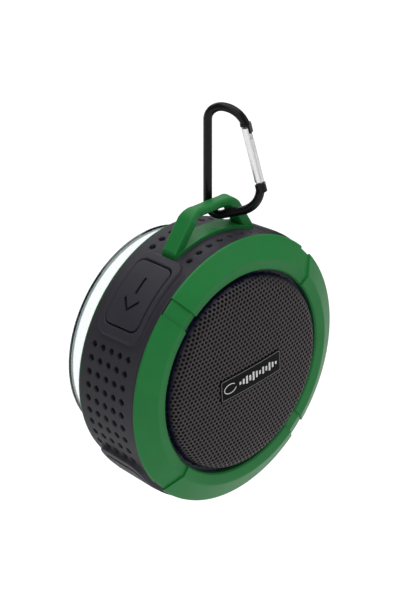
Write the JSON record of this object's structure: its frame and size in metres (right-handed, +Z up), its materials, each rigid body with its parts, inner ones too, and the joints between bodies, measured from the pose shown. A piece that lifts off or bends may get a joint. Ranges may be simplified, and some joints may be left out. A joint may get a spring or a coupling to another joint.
{
  "type": "shower speaker",
  "caption": "Round wireless shower speaker with a domed grille, dimpled rubber band with press pads, hang loop with a snap hook, and a suction cup behind.",
  "frame": {"origin": "centre of the suction cup's rim plane, on the drum's axis", "axes": "+Y out of the back along the drum's axis, towards the wall; -Y out of the grille; +Z up through the hang loop; +X right seen from the front"},
  "size_m": [0.087, 0.0459, 0.1283],
  "materials": {
    "green_plastic": "satin moulded",
    "grille_metal": "powder coated perforated sheet",
    "lining_cloth": "black acoustic cloth",
    "badge_gloss": "high gloss black",
    "rubber": "matte silicone rubber",
    "soft_rubber": "soft black rubber",
    "washer_rubber": "white silicone",
    "black_plastic": "moulded black plastic",
    "switch_plastic": "switch case",
    "pressed_steel": "black coated pressed steel",
    "zinc_steel": "zinc plated",
    "magnet": "sintered magnet",
    "foam": "closed cell foam",
    "cone_paper": "pressed paper",
    "spider_cloth": "resin dipped cloth",
    "copper_coil": "enamelled copper",
    "brass": "turned brass",
    "clear_vinyl": "clear flexible vinyl",
    "screw_steel": "black zinc",
    "nickel_steel": "nickel plated",
    "spring_steel": "spring steel",
    "board_green": "solder mask",
    "chip_black": "epoxy",
    "module_blue": "blue solder mask with shield",
    "cell_foil": "foil pouch",
    "lead_red": "vinyl insulation",
    "lead_black": "vinyl insulation",
    "led_lens": "diffuse lens",
    "black_anodised": "glossy black anodised",
    "bright_aluminium": "polished"
  },
  "bodies": {
    "housing": {"badge": "badge_gloss", "baffle_screws": "screw_steel", "battery_cell": "cell_foil", "battery_foam": "foam", "battery_leads": "lead_red", "bluetooth_module": "module_blue", "board_components": "chip_black", "board_screws": "screw_steel", "driver_basket": "pressed_steel", "driver_gasket": "foam", "driver_magnet": "magnet", "driver_top_plate": "zinc_steel", "driver_yoke": "zinc_steel", "front_baffle": "black_plastic", "front_bezel": "green_plastic", "front_seal": "soft_rubber", "grille": "grille_metal", "grille_lining": "lining_cloth", "hang_loop": "green_plastic", "loop_screws": "screw_steel", "main_board": "board_green", "microphone": "nickel_steel", "mid_housing": "black_plastic", "rear_cover": "black_plastic", "rear_ring": "green_plastic", "rear_screws": "screw_steel", "rear_seal": "soft_rubber", "rubber_sleeve": "rubber", "speaker_leads": "lead_black", "status_led": "led_lens", "tact_switches": "switch_plastic", "threaded_insert": "brass", "usb_socket": "nickel_steel"},
    "previous_pad": {"pad_previous": "rubber", "stem_previous": "black_plastic"},
    "next_pad": {"pad_next": "rubber", "stem_next": "black_plastic"},
    "power_pad": {"pad_power": "rubber", "stem_power": "black_plastic"},
    "play_pad": {"pad_play": "rubber", "stem_play": "black_plastic"},
    "port_flap": {"port_cover": "rubber"},
    "diaphragm": {"cone": "cone_paper", "dust_cap": "cone_paper", "voice_coil": "copper_coil", "surround": "soft_rubber", "spider": "spider_cloth"},
    "washer": {"cup_washer": "washer_rubber"},
    "cup": {"suction_cup": "clear_vinyl", "cup_stud": "zinc_steel"},
    "hook": {"carabiner_frame": "black_anodised", "gate_pin": "black_anodised", "gate_spring": "spring_steel"},
    "gate": {"carabiner_gate": "bright_aluminium"}
  },
  "joints": [
    {"name": "previous_press", "type": "slide", "parent": "housing", "child": "previous_pad", "axis": [0.7133, 0, -0.7009], "range_m": [0, 0.0008], "stiffness_N_per_m": 2500},
    {"name": "next_press", "type": "slide", "parent": "housing", "child": "next_pad", "axis": [-0.7133, 0, -0.7009], "range_m": [0, 0.0008], "stiffness_N_per_m": 2500},
    {"name": "power_press", "type": "slide", "parent": "housing", "child": "power_pad", "axis": [0.5878, 0, 0.809], "range_m": [0, 0.0008], "stiffness_N_per_m": 2500},
    {"name": "play_press", "type": "slide", "parent": "housing", "child": "play_pad", "axis": [-0.5878, 0, 0.809], "range_m": [0, 0.0008], "stiffness_N_per_m": 2500},
    {"name": "port_open", "type": "hinge", "parent": "housing", "child": "port_flap", "pos_m": [0, -0.0149, -0.04102], "axis": [1, 0, 0], "range_deg": [0, 110]},
    {"name": "cone_travel", "type": "slide", "parent": "housing", "child": "diaphragm", "axis": [0, 1, 0], "range_m": [-0.0015, 0.0015], "stiffness_N_per_m": 1500, "deforming": ["surround", "spider"]},
    {"name": "cup_advance", "type": "slide", "parent": "housing", "child": "washer", "axis": [0, 1, 0], "range_m": [0, 0.0061]},
    {"name": "cup_turn", "type": "hinge", "parent": "washer", "child": "cup", "pos_m": [0, 0, 0], "axis": [0, 1, 0], "range_deg": [0, 2160]},
    {"name": "hook_swing", "type": "hinge", "parent": "housing", "child": "hook", "pos_m": [0, -0.0243, 0.0504], "axis": [1, 0, 0], "range_deg": [-100, 40]},
    {"name": "gate_open", "type": "hinge", "parent": "hook", "child": "gate", "pos_m": [0.00991, -0.03614, 0.05836], "axis": [-0.9044, -0.4226, -0.0585], "range_deg": [0, 25], "stiffness_Nm_per_rad": 0.02, "springref_deg": -17.19, "deforming": ["gate_spring"]}
  ],
  "couplings": [
    {"joint": "cup_advance", "follows": "cup_turn", "m_per_rad": 0.00015915}
  ]
}
